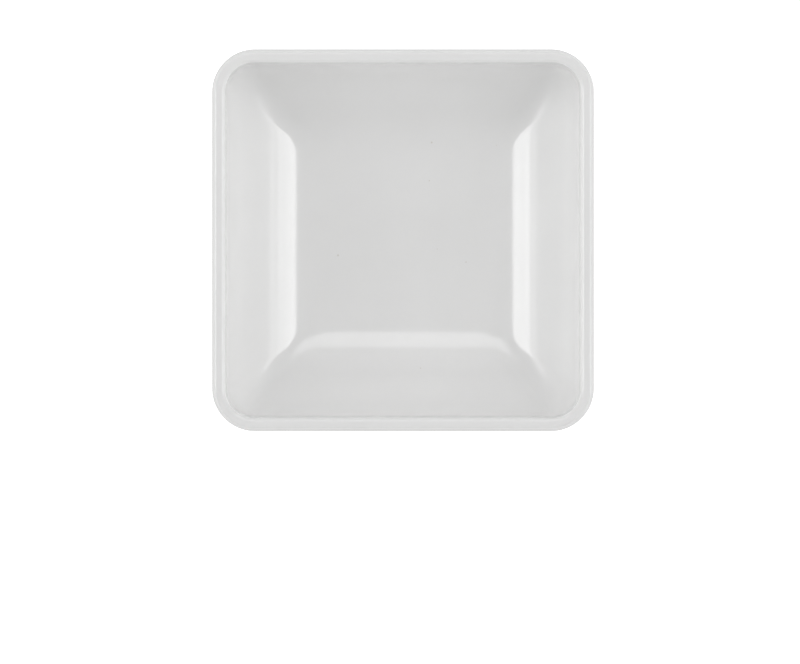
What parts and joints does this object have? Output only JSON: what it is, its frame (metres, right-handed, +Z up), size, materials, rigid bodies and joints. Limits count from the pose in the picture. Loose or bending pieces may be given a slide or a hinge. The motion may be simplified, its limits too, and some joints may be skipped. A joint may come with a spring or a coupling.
{
  "type": "square bowl",
  "caption": "Small square bowl moulded in one piece, with rounded corners, a coved inside and a notched foot ring.",
  "frame": {"origin": "middle of the foot's standing face, on the table", "axes": "+Z up out of the bowl's mouth; +X and +Y square to two neighbouring sides"},
  "size_m": [0.095, 0.095, 0.0346],
  "materials": {
    "white_melamine": "glossy white moulded melamine, with faint mottling and a few dark specks"
  },
  "bodies": {
    "root": {"bowl": "white_melamine"}
  },
  "joints": []
}
